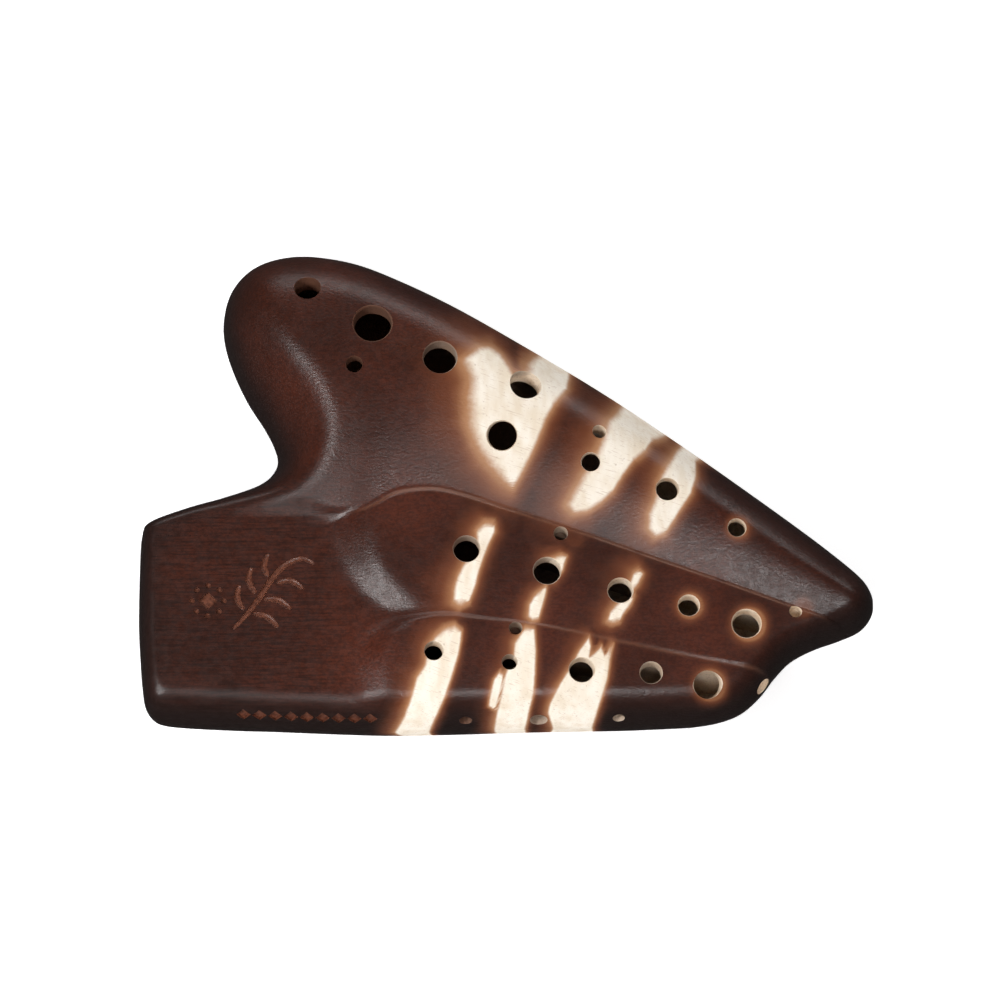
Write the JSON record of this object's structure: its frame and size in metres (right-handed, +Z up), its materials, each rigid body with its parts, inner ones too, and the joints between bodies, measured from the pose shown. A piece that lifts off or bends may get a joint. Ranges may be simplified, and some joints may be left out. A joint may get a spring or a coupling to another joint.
{
  "type": "ocarina",
  "caption": "Triple-chamber transverse ocarina of smoke-fired clay: two half shells, chamber walls, windway pieces and labium ramps.",
  "frame": {"origin": "centre of the bounding box's base, on the plane the flat of the belly rests on", "axes": "+Z up out of the finger-hole side; -X towards the mouthpiece's blowing end; +Y towards the large chamber's upper edge"},
  "size_m": [0.1998, 0.136, 0.052],
  "materials": {
    "smoked_clay": "satin",
    "bare_clay": "matte"
  },
  "bodies": {
    "root": {"front_shell": "smoked_clay", "back_shell": "smoked_clay", "upper_chamber_wall": "bare_clay", "lower_chamber_wall": "bare_clay", "upper_windway_divider": "bare_clay", "lower_windway_divider": "bare_clay", "large_windway_cover": "bare_clay", "middle_windway_cover": "bare_clay", "small_windway_cover": "bare_clay", "large_labium": "bare_clay", "middle_labium": "bare_clay", "small_labium": "bare_clay"}
  },
  "joints": []
}
